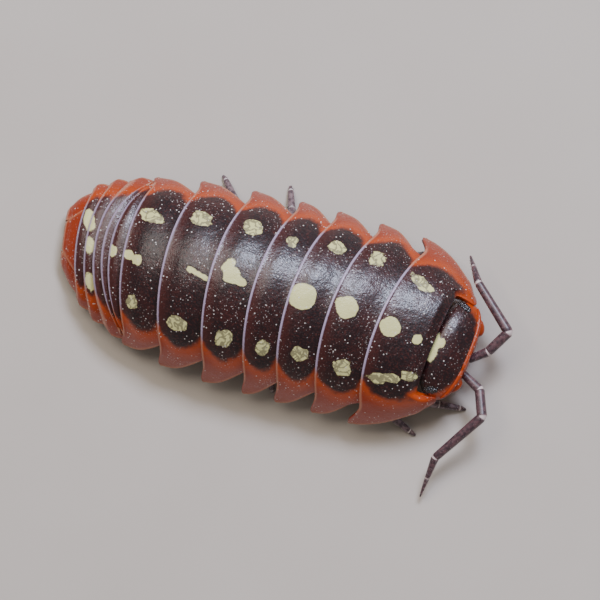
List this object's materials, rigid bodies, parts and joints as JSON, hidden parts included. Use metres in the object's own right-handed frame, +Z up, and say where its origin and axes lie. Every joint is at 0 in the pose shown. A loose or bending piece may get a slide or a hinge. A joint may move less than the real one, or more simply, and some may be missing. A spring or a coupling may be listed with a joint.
{
  "type": "woodlouse",
  "caption": "Life-size walking pill-bug woodlouse with arched overlapping back plates, spotted shell, orange rims and spread feelers.",
  "frame": {"origin": "middle of the bounding box's floor face, at the soles of the feet", "axes": "+X towards the head, +Y to the animal's left, +Z up"},
  "size_m": [0.0194, 0.0112, 0.0042],
  "materials": {
    "shell": "satin spotted shell",
    "tail_shell": "satin shell",
    "head_shell": "satin shell",
    "eye": "glossy bead",
    "feeler": "satin horn",
    "leg": "satin horn",
    "flesh": "soft thin skin"
  },
  "bodies": {
    "root": {"back_plate_1": "shell", "back_plate_2": "shell", "back_plate_3": "shell", "back_plate_4": "shell", "back_plate_5": "shell", "back_plate_6": "shell", "back_plate_7": "shell", "tail_plate_1": "shell", "tail_plate_2": "shell", "tail_plate_3": "shell", "tail_plate_4": "shell", "tail_plate_5": "shell", "tail_tip": "tail_shell", "tail_foot_left": "tail_shell", "tail_foot_right": "tail_shell", "head": "head_shell", "eye_left": "eye", "eye_right": "eye", "feeler_left_stalk": "feeler", "feeler_left_fourth_article": "feeler", "feeler_left_fifth_article": "feeler", "feeler_left_lash": "feeler", "feeler_right_stalk": "feeler", "feeler_right_fourth_article": "feeler", "feeler_right_fifth_article": "feeler", "feeler_right_lash": "feeler", "leg_left_1": "leg", "leg_left_2": "leg", "leg_left_3": "leg", "leg_left_4": "leg", "leg_left_5": "leg", "leg_left_6": "leg", "leg_left_7": "leg", "leg_right_1": "leg", "leg_right_2": "leg", "leg_right_3": "leg", "leg_right_4": "leg", "leg_right_5": "leg", "leg_right_6": "leg", "leg_right_7": "leg", "trunk": "flesh", "gill_covers": "flesh"}
  },
  "joints": []
}
